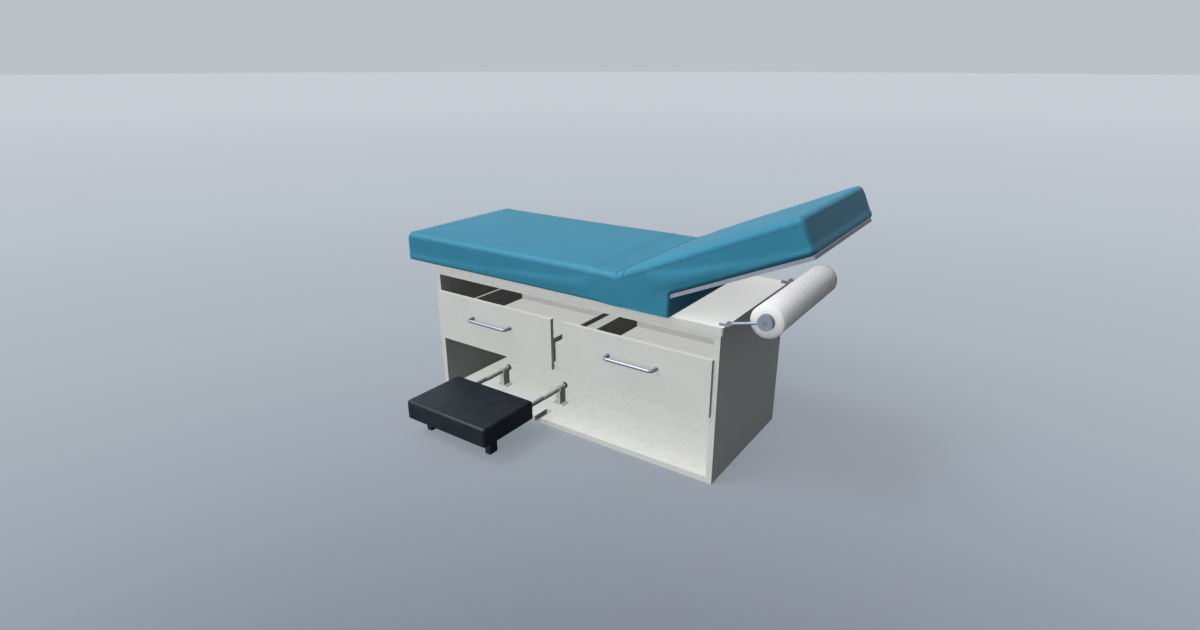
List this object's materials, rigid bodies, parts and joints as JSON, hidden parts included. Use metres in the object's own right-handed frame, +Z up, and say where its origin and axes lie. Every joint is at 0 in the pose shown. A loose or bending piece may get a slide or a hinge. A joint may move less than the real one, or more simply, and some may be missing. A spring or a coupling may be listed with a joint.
{
  "type": "examination table",
  "caption": "Clinic examination table: laminate cabinet with drawers and a pull-out step, padded seat, lifting padded back and a swing-arm paper roll holder.",
  "frame": {"origin": "on the floor under the middle of the cabinet", "axes": "+X runs to the head end, -Y is the drawer side, +Z is up"},
  "size_m": [1.9293, 1.076, 1.089],
  "materials": {
    "laminate": "satin",
    "drawer_laminate": "satin",
    "drawer_board": "satin",
    "timber": "matte",
    "back_board": "satin",
    "vinyl": "satin",
    "steel": "satin",
    "zinc": "satin",
    "painted_steel": "satin",
    "dark_painted_steel": "satin",
    "guide_paint": "satin",
    "dark_plastic": "satin",
    "hub_plastic": "satin",
    "rubber": "matte",
    "paper": "matte",
    "cardboard": "matte"
  },
  "bodies": {
    "cabinet": {"foot_end_panel": "laminate", "head_end_panel": "laminate", "floor_panel": "laminate", "top_panel": "laminate", "back_panel": "laminate", "deck": "laminate", "front_rail": "laminate", "centre_beam": "laminate", "carcass_dowels": "timber", "deck_screws": "zinc", "left_drawer_channels": "zinc", "right_drawer_channels": "zinc", "step_guide_sleeves": "guide_paint", "step_guide_brackets": "guide_paint", "guide_bracket_screws": "zinc", "seat_board": "timber", "seat_cushion": "vinyl", "seat_bolts": "zinc", "fold_skirt": "vinyl", "hinge_fixed_plates": "painted_steel", "hinge_pins": "zinc", "roll_brackets": "painted_steel", "roll_bracket_screws": "zinc", "roll_pivot_pins": "zinc"},
    "left_drawer": {"left_drawer_front": "drawer_laminate", "left_drawer_outer_side": "drawer_board", "left_drawer_inner_side": "drawer_board", "left_drawer_back": "drawer_board", "left_drawer_bottom": "drawer_board", "left_drawer_rails": "zinc", "left_drawer_handle": "steel", "left_handle_screws": "zinc"},
    "right_drawer": {"right_drawer_front": "drawer_laminate", "right_drawer_outer_side": "drawer_board", "right_drawer_inner_side": "drawer_board", "right_drawer_back": "drawer_board", "right_drawer_bottom": "drawer_board", "right_drawer_rails": "zinc", "right_drawer_handle": "steel", "right_handle_screws": "zinc"},
    "step": {"step_tread": "dark_plastic", "step_frame_plate": "dark_painted_steel", "step_left_leg": "dark_painted_steel", "step_right_leg": "dark_painted_steel", "step_feet": "rubber", "step_tubes": "steel", "step_collars": "zinc", "step_screws": "zinc"},
    "back": {"back_board": "back_board", "back_cushion": "vinyl", "hinge_moving_plates": "painted_steel", "ratchet_housings": "painted_steel", "back_screws": "zinc"},
    "roll_holder": {"roll_arms": "painted_steel", "roll_spindle": "steel"},
    "roll": {"paper_roll": "paper", "roll_core": "cardboard", "roll_hubs": "hub_plastic"}
  },
  "joints": [
    {"name": "left_drawer_slide", "type": "slide", "parent": "cabinet", "child": "left_drawer", "axis": [0, -1, 0], "range_m": [0, 0.41]},
    {"name": "right_drawer_slide", "type": "slide", "parent": "cabinet", "child": "right_drawer", "axis": [0, -1, 0], "range_m": [0, 0.41]},
    {"name": "step_slide", "type": "slide", "parent": "cabinet", "child": "step", "axis": [0, 1, 0], "range_m": [0, 0.368]},
    {"name": "back_hinge", "type": "hinge", "parent": "cabinet", "child": "back", "pos_m": [0.354, 0, 0.739], "axis": [0, -1, 0], "range_deg": [-11, 46], "deforming": ["fold_skirt"]},
    {"name": "roll_arm_hinge", "type": "hinge", "parent": "cabinet", "child": "roll_holder", "pos_m": [0.759, 0, 0.676], "axis": [0, 1, 0], "range_deg": [0, 60]},
    {"name": "paper_roll_spin", "type": "hinge", "parent": "roll_holder", "child": "roll", "pos_m": [0.893, 0, 0.708], "axis": [0, 1, 0], "continuous": true}
  ]
}
